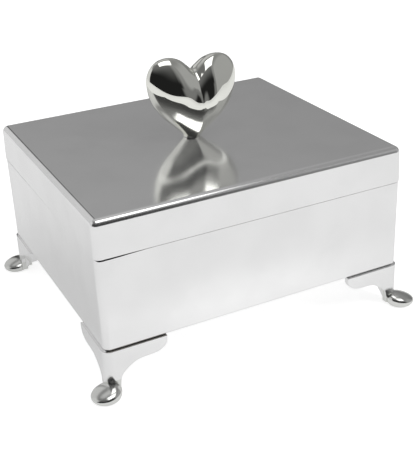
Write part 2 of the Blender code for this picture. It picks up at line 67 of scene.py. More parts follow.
# The body's rim sinks towards the near corner, and evenly at the back left corner
SEAM_DROP = 0.00045
SEAM_DROP_REACH = 0.018
SEAM_DROP_CUTS = 6
SEAM_DROP_BACK_LEFT = 0.00025
ROUND_STEPS = 12
EDGE_STEPS = 8
SCREW_HOLE_RADIUS = 0.00155
HOLE_STEPS = 32
OVERRUN = 0.0010
WELD_DISTANCE = 0.000002
RIM_BEVEL_STEPS = 3
RIM_ANGLE = math.radians(55)
SMOOTH_ANGLE = math.radians(38)
ROUND_SMOOTH_ANGLE = math.radians(50)
# A face counts as level where its normal's upright part is more than this
LEVEL_SHARE = 0.9

# Bracket feet, measured from the corner of the body
FOOT_WING = 0.0215
FOOT_PROUD = 0.0006
FOOT_WALL = 0.0024
FOOT_EDGE = 0.00011
FOOT_LIFT = 0.00022
FOOT_BEND_RADIUS = CORNER_RADIUS + FOOT_PROUD
FOOT_BEND_CUTS = 12
FOOT_SCREW_INSET = 0.0053
FOOT_BORE_DEPTH = 0.0063
LEG_BOTTOM = 0.0012
BOSS_REACH = 0.0079
BOSS_BOTTOM = 0.0091
BOSS_INNER = 0.0009
CORE_TOP_REACH = 0.0060
CORE_BOTTOM_REACH = 0.0040
CORE_BOTTOM = 0.0046
CORE_EDGE = 0.0004
CORE_EDGE_STEPS = 3
FLAT_ANGLE = math.radians(1)
PLATE_EDGE_STEPS = 3
PAD_RADIUS = 0.0052
PAD_THICKNESS = 0.0043
PAD_SLOPE = 0.22
PAD_SOLE_RADIUS = 0.0034
PAD_OFFSET = 0.00135
PAD_STEPS = 64
PAD_ARC_STEPS = 10
# Slot of the darker, rougher silver on the feet's pads
DARKER_PAD_SLOT = 1
# Slot of the dark silver that paints shade into the crease under the body
PAINTED_CREASE_SHADE_SLOT = 2
# Share of the wing's length and share of the foot's height, from the wing's tip down to the leg
OGEE_SHARES = (
    (1.000, 0.000),
    (0.998, 0.095),
    (0.978, 0.180),
    (0.935, 0.250),
    (0.842, 0.309),
    (0.721, 0.330),
    (0.577, 0.338),
    (0.470, 0.369),
    (0.372, 0.440),
    (0.284, 0.531),
    (0.219, 0.650),
    (0.198, 0.806),
    (0.194, 0.920),
)
OGEE_STEPS = 5

# Heart finial, drawn from the middle of its foot; places are across and up
HEART_WIDTH = 0.0346
HEART_HEIGHT = 0.0292
HEART_DEPTH = 0.0084
HEART_MIDDLE = (0.0010, 0.0105)
HEART_LEAN = math.radians(3.0)
HEART_SECTORS = 192
HEART_RINGS = 64
HEART_RING_POWER = 0.62
HEART_LINE_STEPS = 12
# Shares of half the width and of the height, from the tip up to the notch
HEART_SHARES = (
    (0.400, 0.130),
    (0.660, 0.275),
    (0.880, 0.462),
    (0.992, 0.690),
    (0.950, 0.852),
    (0.780, 0.965),
    (0.535, 1.000),
    (0.290, 0.966),
    (0.110, 0.888),
)
HEART_NOTCH_SHARE = 0.838
HEART_TIP_SHARE = -0.085
# How bluntly a face rounds off to its rim: below and above the middle, and where that changes
RIM_POWERS = (2.94, 3.12)
RIM_CHANGE = (-0.6, 0.5)
# Each swelling is a place across and up, a width and a height; fills begin with their depth
HEART_CORE_SHARE = 0.75
LOBE_SHARE = 0.20
LOBES = (
    (-0.0085, 0.0186, 0.0069, 0.0074),
    (0.0064, 0.0209, 0.0043, 0.0111),
)
FILLS = (
    (0.00062, (-0.0008, 0.0135, 0.0056, 0.0088)),
    (0.00076, (0.0013, 0.0082, 0.0061, 0.0077)),
    (0.00045, (0.0007, 0.0202, 0.0019, 0.0076)),
)
# The heart is thinner at its tip and reaches its full depth between these heights
TIP_DEPTH_SHARE = 0.52
TIP_RISE = (-0.0054, 0.0131)
# Upwards from a level it thins by these shares a metre, left and right of the change
BACKSLOPE = 21.0
BACKSLOPE_RIGHT = 33.0
BACKSLOPE_CHANGE = (0.003, 0.012)
BACKSLOPE_LEVEL = 0.017
HEART_CUT_LEVEL = 0.0002
HEART_BORE_DEPTH = 0.0063
COLLAR_RADIUS = 0.0031
COLLAR_WAIST = 0.0022
COLLAR_HEIGHT = 0.0016
COLLAR_BASE = -0.00026
COLLAR_STEPS = 8
COLLAR_RIM_HEIGHT = 0.0003
COLLAR_EDGE = 0.00008
COLLAR_UNDERCUT = 0.0003
# The part inside the heart, in shares of the waist and of the collar's height
COLLAR_PLUG_SHARES = ((0, 1.5), (0.8, 1.3))

# Hinge
HINGE_KNUCKLES = 5
KNUCKLE_RADIUS = 0.0016
KNUCKLE_GAP = 0.0003
PIN_BORE_RADIUS = 0.00077
LEAF_THICKNESS = 0.0010
LEAF_REACH = 0.0075
LEAF_RELIEF = 0.0019
LEAF_CORNER = 0.0012
LEAF_CORNER_STEPS = 6
HEEL_LENGTH = 0.0030
HEEL_BELOW = 0.00023
HEEL_ABOVE = 0.0009
HINGE_EDGE = 0.00012
HINGE_EDGE_STEPS = 2
HINGE_STEPS = 40

# Lining
BOARD_EDGE = 0.00045
BOARD_EDGE_SHARE = 0.45
BOARD_EDGE_STEPS = 4
BOARD_CORNER_STEPS = 5
BOARD_CELL = 0.0016
BOARD_RIPPLE = 0.00006
RIPPLES_PER_METRE = 180
BOARD_SMOOTH_ANGLE = math.radians(60)
PAD_CROWN = 0.0006
PAD_CROWN_REACH = 0.010

# Noise for marks: cycles to the metre along each axis, detail and roughness
CLOUDS = ((70, 70, 70), 3.0, 0.5)
WAVES = ((160, 160, 160), 1.0, 0.5)
TURNING_MARKS = ((500, 500, 9000), 3.0, 0.5)
BRUSHED_PATCHES = ((45, 45, 45), 3.0, 0.6)
PILE = ((5200, 5200, 5200), 3.0, 0.7)
HAIR_SCALE = 2600
HAIR_SCALE_ALONG = 60
HAIR_GRAIN = (4.0, 0.7)
# Ranges of the noise over which a mark shows, and how much it changes
CLOUD_COLOUR_RANGE = (0.35, 0.70)
CLOUD_POLISH_RANGE = (0.30, 0.75)
CLOUD_SHADE_SHARE = 0.965
HAIR_RANGE = (0.52, 0.72)
HAIR_HEIGHT_SHARE = 0.05
TURNING_RANGE = (0.3, 0.7)
BRUSHED_RANGE = (0.3, 0.7)
BRUSHED_SHARE = 0.6
PILE_SHARE = 0.4
SILVER_BUMP = {"Strength": 0.25, "Distance": 0.000012}
STEEL_BUMP = {"Strength": 0.3, "Distance": 0.00002}
VELVET_BUMP = {"Strength": 0.7, "Distance": 0.00012}
STEEL_SURFACE = {"Base Color": (0.56, 0.56, 0.57, 1), "Metallic": 1.0}
STEEL_ROUGHNESS_RANGE = (0.22, 0.38)
VELVET_DARK = (0.010, 0.010, 0.012, 1)
VELVET_LIGHT = (0.034, 0.034, 0.040, 1)
VELVET_SURFACE = {
    "Roughness": 0.92,
    "Specular IOR Level": 0.2,
    "Sheen Weight": 0.6,
    "Sheen Roughness": 0.35,
    "Sheen Tint": (0.55, 0.55, 0.60, 1),
}

# Floor: its colour in plain light and in mirrors, and how brightly it glows in each
FLOOR_SIZE = 6.0
FLOOR_CELLS = 8
FLOOR_COLOUR = (0.80, 0.80, 0.80, 1)
FLOOR_COLOUR_IN_MIRRORS = (0.30, 0.30, 0.30, 1)
CAMERA_GLOW = 0.65
MIRROR_GLOW = 0.58
# Painted light and shade on the floor, seen in mirrors: a pool of light in front of the box and
# shadows at its left. Each has a place, reaches along X and Y, and how much brighter or darker
PAINTED_POOLS = (
    ((0.012, -0.082), (0.085, 0.029), 0.15),
    ((-0.066, 0.010), (0.040, 0.110), -0.13),
    ((-0.110, 0.060), (0.080, 0.200), -0.07),
)

# Room round the box, which only mirrors show. Angles are in degrees and azimuths run from the
# camera's to its right. A wall has a tone, the azimuth of its middle, half its width, half the
# width of its soft edge, and the elevations between which it begins or ends.
ROOM_TONES = (0.254, 0.352)
ROOM_RISE = (14, 42)
ROOM_LEAN = 0.30
ROOM_LEAN_AZIMUTH = -90
WALLS = (
    (0.60, {"azimuth": -125, "reach": 28, "edge": 6, "top": (34, 46)}),
    (0.06, {"azimuth": -157, "reach": 4, "edge": 2, "top": (39, 51)}),
    (0.36, {"azimuth": 94, "reach": 27, "edge": 4, "top": (38, 54)}),
    (0.22, {"azimuth": -100, "reach": 50, "edge": 10, "foot": (38, 48)}),
    (0.66, {"azimuth": -88, "reach": 24, "edge": 5, "top": (34, 46)}),
    (0.15, {"azimuth": -6, "reach": 60, "edge": 6, "top": (65, 75)}),
)
DARK_TONE = 0.014
DARK_WALLS = (
    {"azimuth": -7, "reach": 57, "edge": 4, "top": (13.7, 17.7)},
    {"azimuth": -6, "reach": 56, "edge": 4, "top": (28, 56)},
    {"azimuth": 36, "reach": 19, "edge": 5, "foot": (13, 22), "top": (26, 42)},
)
# Lit panels on a ceiling one unit up: brightness, reach along X, reach along Y and soft edge
PANELS = (
    (1.9, (-0.30, 0.46), (-0.64, -0.02), 0.06),
    (0.55, (-0.60, 0.60), (0.10, 0.80), 0.30),
)
CEILING_RISE = (0.10, 0.20)
LEAST_LEVEL = 0.001
LEAST_RISE = 0.02

# Lamps: name, place, side of the square and power; they show in no mirror
LAMPS = (
    ("key", (0.35, -0.55, 0.75), 0.45, 3.0),
    ("fill", (-0.60, -0.20, 0.60), 0.50, 1.2),
)
LAMP_AIM = Vector((0, 0, 0.03))


# Modelling helpers

def linked(name, data):
    """A new object in the scene."""
    obj = bpy.data.objects.new(name, data)
    bpy.context.scene.collection.objects.link(obj)
    return obj


def add_object(name, shape):
    """Turns a bmesh into an object in the scene."""
    bmesh.ops.recalc_face_normals(shape, faces=shape.faces)
    mesh = bpy.data.meshes.new(name)
    shape.to_mesh(mesh)
    shape.free()
    return linked(name, mesh)


def shade_smooth(obj, angle=SMOOTH_ANGLE):
    obj.data.shade_smooth()
    obj.data.set_sharp_from_angle(angle=angle)


def smooth(obj, angle=SMOOTH_ANGLE):
    """Smooth shading that leaves flat faces flat and sharp edges sharp."""
    shade_smooth(obj, angle)
    weighted = obj.modifiers.new("weighted", "WEIGHTED_NORMAL")
    weighted.keep_sharp = True
    return obj


def block(low, high):
    """A box between two corners."""
    low, high = Vector(low), Vector(high)
    shape = bmesh.new()
    bmesh.ops.create_cube(shape, size=1.0)
    bmesh.ops.scale(shape, vec=high - low, verts=shape.verts)
    bmesh.ops.translate(shape, vec=(low + high) / 2, verts=shape.verts)
    return shape


def bevel(shape, edges, radius, steps):
    bmesh.ops.bevel(
        shape,
        geom=edges,
        offset=radius,
        segments=steps,
        profile=0.5,
        affect="EDGES",
        clamp_overlap=True,
    )


def slice_across(shape, place, normal):
    """Adds a line of edges where a plane meets the shape."""
    bmesh.ops.bisect_plane(
        shape,
        geom=[*shape.verts, *shape.edges, *shape.faces],
        dist=WELD_DISTANCE,
        plane_co=place,
        plane_no=normal,
    )


def cylinder(radius, low, high, steps, centre=(0, 0)):
    """An upright cylinder between two heights."""
    shape = bmesh.new()
    middle = Vector((centre[0], centre[1], (low + high) / 2))
    bmesh.ops.create_cone(
        shape,
        cap_ends=True,
        segments=steps,
        radius1=radius,
        radius2=radius,
        depth=high - low,
        matrix=Matrix.Translation(middle),
    )
    return shape


def turned(profile, steps):
    """A closed body turned about Z from radius and height pairs that start and end on the axis."""
    shape = bmesh.new()
    rings = []
    for radius, height in profile:
        if radius < WELD_DISTANCE:
            rings.append([shape.verts.new((0, 0, height))])
            continue
        ring = []
        for step in range(steps):
            angle = math.tau * step / steps
            ring.append(
                shape.verts.new((radius * math.cos(angle), radius * math.sin(angle), height))
            )
        rings.append(ring)
    for upper, lower in zip(rings, rings[1:]):
        for step in range(steps):
            after = (step + 1) % steps
            corners = [
                upper[step % len(upper)],
                lower[step % len(lower)],
                lower[after % len(lower)],
                upper[after % len(upper)],
            ]
            shape.faces.new(list(dict.fromkeys(corners)))
    return shape


def baked(obj):
    """The mesh that an object's modifiers make; the object is removed."""
    graph = bpy.context.evaluated_depsgraph_get()
    graph.update()
    mesh = bpy.data.meshes.new_from_object(obj.evaluated_get(graph))
    bpy.data.objects.remove(obj, do_unlink=True)
    return mesh


def boolean(obj, operation, shape):
    """Joins a shape to the object, or cuts it away, by a modifier; returns the helper object."""
    helper = add_object(f"{obj.name}_helper", shape)
    modifier = obj.modifiers.new(operation, "BOOLEAN")
    modifier.operation = operation
    modifier.object = helper
    modifier.solver = "EXACT"
    return helper


def made_solid(name, obj, helpers):
    """The object with its modifiers applied, without its helpers."""
    mesh = baked(obj)
    for helper in helpers:
        bpy.data.objects.remove(helper, do_unlink=True)
    mesh.name = name
    return linked(name, mesh)


def combined(name, base, others):
    """Joins shapes to the base, or cuts them from it, and returns one object."""
    obj = add_object(name, base)
    helpers = [boolean(obj, operation, shape) for operation, shape in others]
    return made_solid(name, obj, helpers)


def plate(outline, thickness, edge):
    """A flat outline made a plate with softly rounded edges, about its own middle plane."""
    curve = bpy.data.curves.new("outline", "CURVE")
    curve.dimensions = "2D"
    curve.fill_mode = "BOTH"
    curve.extrude = thickness / 2 - edge
    curve.bevel_depth = edge
    curve.bevel_resolution = PLATE_EDGE_STEPS
    curve.offset = -edge
    spline = curve.splines.new("POLY")
    spline.points.add(len(outline) - 1)
    for point, (across, up) in zip(spline.points, outline):
        point.co = (across, up, 0, 1)
    spline.use_cyclic_u = True
    shape = bmesh.new()
    shape.from_mesh(baked(linked("outline", curve)))
    bmesh.ops.remove_doubles(shape, verts=shape.verts, dist=WELD_DISTANCE)
    return shape


def smooth_line(points, steps):
    """A Catmull-Rom line through the points, with steps parts between each two."""
    ends = [points[0], *points, points[-1]]
    line = [Vector(points[0])]
    for index in range(len(points) - 1):
        a, b, c, d = (Vector(point) for point in ends[index : index + 4])
        for step in range(1, steps + 1):
            t = step / steps
            line.append(
                (2 * b + (c - a) * t + (2 * a - 5 * b + 4 * c - d) * t**2
                 + (3 * b - a - 3 * c + d) * t**3) / 2
            )
    return line


def soft_step(low, high, value):
    """Climbs smoothly from 0 at low to 1 at high."""
    share = min(max((value - low) / (high - low), 0.0), 1.0)
    return share * share * (3 - 2 * share)


# Materials

class Nodes:
    """Short calls that add shader nodes to a material or a world."""

    def __init__(self, tree):
        self.tree = tree

    def add(self, kind, inputs=None, **settings):
        """Adds a node; inputs are sockets to link or plain values."""
        node = self.tree.nodes.new(kind)
        for name, value in settings.items():
            setattr(node, name, value)
        for key, value in (inputs or {}).items():
            self.feed(node.inputs[key], value)
        return node

    def feed(self, socket, value):
        if isinstance(value, bpy.types.NodeSocket):
            self.tree.links.new(value, socket)
        else:
            socket.default_value = value

    def math(self, operation, *values):
        node = self.add("ShaderNodeMath", operation=operation)
        for socket, value in zip(node.inputs, values):
            self.feed(socket, value)
        return node.outputs[0]

    def between(self, value, low, high, out_low=0.0, out_high=1.0):
        """Maps a value from one range to another, with soft ends."""
        node = self.add(
            "ShaderNodeMapRange",
            {0: value, 1: low, 2: high, 3: out_low, 4: out_high},
            interpolation_type="SMOOTHSTEP",
        )
        return node.outputs[0]

    def blend(self, factor, first, second):
        """Mixes two values."""
        node = self.add("ShaderNodeMix", {0: factor, 2: first, 3: second}, data_type="FLOAT")
        return node.outputs[0]

    def vector(self, operation, *values):
        return self.add("ShaderNodeVectorMath", dict(enumerate(values)), operation=operation)

    def mix(self, factor, first, second):
        """Mixes two colours."""
        node = self.add("ShaderNodeMix", {0: factor}, data_type="RGBA")
        self.feed(node.inputs[6], first)
        self.feed(node.inputs[7], second)
        return node.outputs[2]

    def scaled(self, scale):
        """Object coordinates in metres, scaled along each axis."""
        place = self.add("ShaderNodeTexCoord").outputs["Object"]
        return self.add("ShaderNodeMapping", {"Vector": place, "Scale": scale}).outputs[0]

    def noise(self, scale, detail, roughness):
        """Cloudy noise, with its scale along each axis."""
        place = self.scaled(scale)
        values = {"Vector": place, "Scale": 1.0, "Detail": detail, "Roughness": roughness}
        return self.add("ShaderNodeTexNoise", values).outputs[0]

    def bump(self, shader, height, settings):
        """Raises a shader's surface by a height."""
        node = self.add("ShaderNodeBump", {**settings, "Height": height})
        self.feed(shader.inputs["Normal"], node.outputs[0])


def new_material(name, surface=None):
    """A material, its nodes and its shader, with the values that are the same all over."""
    material = bpy.data.materials.new(name)
    material.use_nodes = True
    shader = material.node_tree.nodes["Principled BSDF"]
    for socket, value in (surface or {}).items():
        shader.inputs[socket].default_value = value
    return material, Nodes(material.node_tree), shader


def silver(name, colour, metallic, roughness, spread, wipe_axis):
    """Plated metal: cloudy wipe marks, hairlines along one axis and a faint waviness."""
    material, nodes, shader = new_material(name, {"Metallic": metallic})
    clouds = nodes.noise(*CLOUDS)
    hair_scale = [HAIR_SCALE] * 3
    hair_scale[wipe_axis] = HAIR_SCALE_ALONG
    hairs = nodes.between(nodes.noise(hair_scale, *HAIR_GRAIN), *HAIR_RANGE)
    darker = [channel * CLOUD_SHADE_SHARE for channel in colour]
    clouded = nodes.between(clouds, *CLOUD_COLOUR_RANGE)
    shade = nodes.mix(clouded, (*colour, 1), (*darker, 1))
    nodes.feed(shader.inputs["Base Color"], shade)
    rough = nodes.between(clouds, *CLOUD_POLISH_RANGE, roughness - spread, roughness + spread)
    rough = nodes.math("ADD", rough, nodes.math("MULTIPLY", hairs, spread))
    nodes.feed(shader.inputs["Roughness"], rough)
    hair_height = nodes.math("MULTIPLY", hairs, HAIR_HEIGHT_SHARE)
    height = nodes.math("ADD", nodes.noise(*WAVES), hair_height)
    nodes.bump(shader, height, SILVER_BUMP)
    return material


def steel(name):
    """Turned screws: grey steel with fine turning marks."""
    material, nodes, shader = new_material(name, STEEL_SURFACE)
    marks = nodes.noise(*TURNING_MARKS)
    rough = nodes.between(marks, *TURNING_RANGE, *STEEL_ROUGHNESS_RANGE)
    nodes.feed(shader.inputs["Roughness"], rough)
    nodes.bump(shader, marks, STEEL_BUMP)
    return material


def velvet(name):
    """Short black pile, brushed lighter and darker in patches."""
    material, nodes, shader = new_material(name, VELVET_SURFACE)
    patches = nodes.noise(*BRUSHED_PATCHES)
    brushed = nodes.between(patches, *BRUSHED_RANGE, 0.0, BRUSHED_SHARE)
    pile = nodes.noise(*PILE)
    shade = nodes.math("ADD", brushed, nodes.math("MULTIPLY", pile, PILE_SHARE))
    nodes.feed(shader.inputs["Base Color"], nodes.mix(shade, VELVET_DARK, VELVET_LIGHT))
    nodes.bump(shader, pile, VELVET_BUMP)
    return material


# Silver plate: colour, metallic share, roughness, its spread, and the axis it was wiped along
PLATE = silver("silver_plate_satin", (0.945, 0.945, 0.945), 0.94, 0.14, 0.012, 0)
BRIGHT = silver("silver_plate_bright", (0.918, 0.922, 0.870), 1.0, 0.035, 0.008, 2)
# Darker, rougher silver for the feet's pads
DARKER_PAD_SILVER = silver("silver_plate_darker_pad", (0.800, 0.805, 0.785), 1.0, 0.17, 0.020, 2)
# Dark silver that paints the shadow in the crease where the left-hand feet meet the body
PAINTED_CREASE_SHADE = silver("silver_plate_painted_crease_shade", (0.400, 0.385, 0.370), 1.0, 0.30, 0.030, 2)
STEEL = steel("turned_steel")
VELVET = velvet("black_velvet")


def dress(obj, material, body, slot, *nodes):
    """Gives a piece its material and its body and hides the nodes that it stands for; the record
    slot argument is not used.
    """
    obj.data.materials.clear()
    obj.data.materials.append(material)
    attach(obj, body)
    if nodes:
        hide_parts(*nodes)
    return obj


# Body and lid

def edge_run(edge):
    return edge.verts[1].co - edge.verts[0].co


def upright(edge):
    run = edge_run(edge)
    return abs(run.z) > math.hypot(run.x, run.y)


def at_height(edge, height):
    return all(abs(vert.co.z - height) < WELD_DISTANCE for vert in edge.verts)


def open_box(low, high, open_top):
    """A box with its top or its bottom left off."""
    shape = block(low, high)
    shape.normal_update()
    sign = 1 if open_top else -1
    lost = [face for face in shape.faces if face.normal.z * sign > LEVEL_SHARE]
    bmesh.ops.delete(shape, geom=lost, context="FACES_ONLY")
    return shape


def add_wall(obj):
    """Gives the drawn outer skin its wall, inwards."""
    wall = obj.modifiers.new("wall", "SOLIDIFY")
    wall.thickness = WALL
    wall.offset = -1
    wall.use_even_offset = True


def soften_rims(obj):
    """Breaks the sheared edges."""
    rims = obj.modifiers.new("rims", "BEVEL")
    rims.width = RIM_BEVEL
    rims.segments = RIM_BEVEL_STEPS
    rims.limit_method = "ANGLE"
    rims.angle_limit = RIM_ANGLE
    rims.harden_normals = False


def drop_rim(shape, low, high):
    """Sinks the rim towards the near corner, where the seam is widest, and at the back left."""
    for cut in range(SEAM_DROP_CUTS + 1):
        across = low.x + CORNER_RADIUS + SEAM_DROP_REACH * cut / SEAM_DROP_CUTS
        slice_across(shape, (across, 0, 0), (1, 0, 0))
    for vert in shape.verts:
        if vert.co.z <= high.z - WELD_DISTANCE:
            continue
        if vert.co.y < low.y + CORNER_RADIUS:
            along = vert.co.x - low.x - CORNER_RADIUS
            start = soft_step(-CORNER_RADIUS, -CORNER_RADIUS / 2, along)
            vert.co.z -= SEAM_DROP * start * (1 - soft_step(0, SEAM_DROP_REACH, along))
        elif vert.co.y > 0 > vert.co.x:
            vert.co.z -= SEAM_DROP_BACK_LEFT


def finish_shell(obj, holes, name):
    """Drills a walled skin and finishes its edges."""
    cutters = [boolean(obj, "DIFFERENCE", hole) for hole in holes]
    made = made_solid(name, obj, cutters)
    soften_rims(made)
    return smooth(made, ROUND_SMOOTH_ANGLE)


def foot_screw_holes(low, high):
    """The four holes through the body's floor."""
    bottom, top = low.z - OVERRUN, low.z + WALL + OVERRUN
    for x_sign in (-1, 1):
        for y_sign in (-1, 1):
            centre = (x_sign * (high.x - FOOT_SCREW_INSET), y_sign * (high.y - FOOT_SCREW_INSET))
            yield cylinder(SCREW_HOLE_RADIUS, bottom, top, HOLE_STEPS, centre)


def make_body():
    low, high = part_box("body_shell")
    high.z += SEAM_CLOSING
    shape = open_box(low, high, True)
    bevel(shape, [edge for edge in shape.edges if upright(edge)], CORNER_RADIUS, ROUND_STEPS)
    bottom = [edge for edge in shape.edges if at_height(edge, low.z)]
    bevel(shape, bottom, BODY_EDGE_RADIUS, EDGE_STEPS)
    drop_rim(shape, low, high)
    obj = add_object("body_drawn", shape)
    add_wall(obj)
    body = finish_shell(obj, foot_screw_holes(low, high), "body_walls")
    dress(body, PLATE, "case", "silver_plate", "body_shell")


def make_lid():
    low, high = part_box("lid_shell")
    low.z -= SEAM_CLOSING
    shape = open_box(low, high, False)
    for vert in shape.verts:
        if vert.co.z > (low.z + high.z) / 2:
            vert.co.x -= math.copysign(LID_DRAFT, vert.co.x)
            vert.co.y -= math.copysign(LID_DRAFT, vert.co.y)
    edges = [edge for edge in shape.edges if upright(edge) or at_height(edge, high.z)]
    bevel(shape, edges, LID_EDGE_RADIUS, ROUND_STEPS)
    obj = add_object("lid_drawn", shape)
    add_wall(obj)
    hole = cylinder(SCREW_HOLE_RADIUS, high.z - WALL - OVERRUN, high.z + OVERRUN, HOLE_STEPS)
    lid = finish_shell(obj, [hole], "lid_cover")
    dress(lid, PLATE, "lid", "silver_plate", "lid_shell")


# Feet, drawn for the corner at +X and +Y, with the body's corner at the origin

def foot_outline(height):
    """The bracket laid flat: distance along the wing from the corner, and height."""
    half_bend = FOOT_BEND_RADIUS * math.pi / 4
    points = [
        (
            along * FOOT_WING + FOOT_PROUD - FOOT_BEND_RADIUS + half_bend,
            height * (1 - down),
        )
        for along, down in OGEE_SHARES
    ]
    right = [tuple(point) for point in smooth_line(points, OGEE_STEPS)]
    right.append((right[-1][0], LEG_BOTTOM))
    left = [(-across, up) for across, up in reversed(right)]
    return [*right, *left]


def bend(point):
    """Puts a point of the flat bracket round the corner; its depth runs inwards."""
    along, height, depth = point
    half_bend = FOOT_BEND_RADIUS * math.pi / 4
    centre = FOOT_PROUD - FOOT_BEND_RADIUS
    if abs(along) <= half_bend:
        angle = math.pi / 4 + along / FOOT_BEND_RADIUS
        reach = FOOT_BEND_RADIUS - depth
        return Vector((centre + reach * math.cos(angle), centre + reach * math.sin(angle), height))
    straight = centre - (abs(along) - half_bend)
    if along > 0:
        return Vector((straight, FOOT_PROUD - depth, height))
    return Vector((FOOT_PROUD - depth, straight, height))


def foot_bracket(height):
    """Both wings and the leg's face as one plate, bent round the corner."""
    shape = plate(foot_outline(height), FOOT_WALL, FOOT_EDGE)
    half_bend = FOOT_BEND_RADIUS * math.pi / 4
    for cut in range(FOOT_BEND_CUTS + 1):
        across = half_bend * (2 * cut / FOOT_BEND_CUTS - 1)
        slice_across(shape, (across, 0, 0), (1, 0, 0))
    for vert in shape.verts:
        vert.co = bend((vert.co.x, vert.co.y, FOOT_WALL / 2 - vert.co.z))
    return shape


def foot_boss(height):
    """The block behind the corner that takes the screw."""
    shape = block((-BOSS_REACH, -BOSS_REACH, BOSS_BOTTOM), (-BOSS_INNER, -BOSS_INNER, height))
    edges = [edge for edge in shape.edges if not at_height(edge, height)]
    bevel(shape, edges, CORE_EDGE, CORE_EDGE_STEPS)
    return shape


def foot_core():
    """The sloping back of the leg, under the boss."""
    shape = bmesh.new()
    inner = -BOSS_INNER
    top = BOSS_BOTTOM + CORE_EDGE
    for reach, level in (
        (CORE_TOP_REACH, top),
        (CORE_BOTTOM_REACH, CORE_BOTTOM),
        (CORE_BOTTOM_REACH, LEG_BOTTOM),
    ):
        shape.verts.new((inner, inner, level))
        shape.verts.new((-reach, inner, level))
        shape.verts.new((inner, -reach, level))
    shape.verts.new((-CORE_TOP_REACH, -CORE_TOP_REACH, top))
    found = bmesh.ops.convex_hull(shape, input=shape.verts)
    bmesh.ops.delete(shape, geom=found["geom_interior"], context="VERTS")
    bmesh.ops.dissolve_limit(
        shape, angle_limit=FLAT_ANGLE, verts=shape.verts, edges=shape.edges
    )
    bevel(shape, list(shape.edges), CORE_EDGE, CORE_EDGE_STEPS)
    return shape


def foot_pad():
    """The round pad: a dome that slopes down outwards, a rounded rim and a flat sole."""
    middle = PAD_THICKNESS / 2
    profile = [(0, PAD_THICKNESS)]
    for step in range(1, PAD_ARC_STEPS + 1):
        angle = math.pi / 2 * (1 - step / PAD_ARC_STEPS)
        profile.append((PAD_RADIUS * math.cos(angle), middle + middle * math.sin(angle)))
    for step in range(1, PAD_ARC_STEPS + 1):
        angle = math.pi / 2 * step / PAD_ARC_STEPS
        reach = (PAD_RADIUS - PAD_SOLE_RADIUS) * math.cos(angle)
        profile.append((PAD_SOLE_RADIUS + reach, middle - middle * math.sin(angle)))
    profile.append((0, 0))
    shape = turned(profile, PAD_STEPS)
    for vert in shape.verts:
        vert.co.z -= PAD_SLOPE * vert.co.x * vert.co.z / PAD_THICKNESS
    bmesh.ops.translate(shape, vec=(PAD_OFFSET, PAD_OFFSET, 0), verts=shape.verts)
    return shape


def foot_pattern(height):
    """One foot, from which all four are copied."""
    inset = (-FOOT_SCREW_INSET, -FOOT_SCREW_INSET)
    low, high = height - FOOT_BORE_DEPTH, height + OVERRUN
    return combined(
        "foot_pattern",
        foot_bracket(height),
        [
            ("UNION", foot_boss(height)),
            ("UNION", foot_core()),
            ("UNION", foot_pad()),
            ("DIFFERENCE", cylinder(SCREW_HOLE_RADIUS, low, high, HOLE_STEPS, inset)),
        ],
    )


def mark_foot(foot, corner, x_sign, height):
    """Gives the pads darker, rougher silver and, on the left-hand feet, paints shade on the ledge
    on the long wall, in the crease under the body.
    """
    foot.data.materials.append(DARKER_PAD_SILVER)
    foot.data.materials.append(PAINTED_CREASE_SHADE)
    for face in foot.data.polygons:
        place = face.center - corner
        on_long_wall = abs(place.x) > abs(place.y)
        pad_top = PAD_THICKNESS - PAD_SLOPE * (place.x * x_sign - PAD_OFFSET)
        # Painted shade: the ledge's top faces on the left-hand feet's long wall get the dark
        # silver
        if place.z > height - FOOT_EDGE / 2 and on_long_wall and x_sign < 0:
            face.material_index = PAINTED_CREASE_SHADE_SLOT
        elif place.z < pad_top:
            face.material_index = DARKER_PAD_SLOT


def make_feet():
    body_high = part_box("body_shell")[1]
    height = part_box("foot_front_left")[1].z + FOOT_LIFT
    pattern = foot_pattern(height)
    for name, x_sign, y_sign in (
        ("front_left", -1, -1),
        ("front_right", 1, -1),
        ("back_left", -1, 1),
        ("back_right", 1, 1),
    ):
        shape = bmesh.new()
        shape.from_mesh(pattern.data)
        bmesh.ops.scale(shape, vec=(x_sign, y_sign, 1), verts=shape.verts)
        if x_sign * y_sign < 0:
            bmesh.ops.reverse_faces(shape, faces=shape.faces)
        corner = Vector((x_sign * body_high.x, y_sign * body_high.y, 0))
        bmesh.ops.translate(shape, vec=corner, verts=shape.verts)
        foot = smooth(add_object(f"bracket_foot_{name}", shape))
        dress(foot, PLATE, "case", "silver_plate", f"foot_{name}")
        mark_foot(foot, corner, x_sign, height)
    bpy.data.objects.remove(pattern, do_unlink=True)


# Heart

def heart_outline():
    """The whole outline from the tip round to the tip."""
    half = HEART_WIDTH / 2
    right = [(across * half, up * HEART_HEIGHT) for across, up in HEART_SHARES]
    left = [(-across, up) for across, up in reversed(right)]
    notch = (0, HEART_NOTCH_SHARE * HEART_HEIGHT)
    tip = (0, HEART_TIP_SHARE * HEART_HEIGHT)
    return smooth_line([tip, *right, notch, *left, tip], HEART_LINE_STEPS)


def outline_reach(outline, angle):
    """How far the outline lies from the heart's middle in one direction."""
    centre = Vector(HEART_MIDDLE)
    ray = Vector((math.cos(angle), math.sin(angle)))
    best = 0
    for first, second in zip(outline, outline[1:]):
        a, b = first - centre, second - centre
        run = b - a
        cross = ray.x * run.y - ray.y * run.x
        if cross == 0:
            continue
        share = (a.y * ray.x - a.x * ray.y) / -cross
        distance = (a.x * run.y - a.y * run.x) / cross
        if 0 <= share <= 1 and distance > best:
            best = distance
    return best


def bell(x, z, across, up, wide, tall):
    """A round swelling of height 1 at a place on the heart's face."""
    return math.exp(-(((x - across) / wide) ** 2) - ((z - up) / tall) ** 2)


def blend(first, second, share):
    """The value a share of the way from the first to the second."""
    return first + (second - first) * share


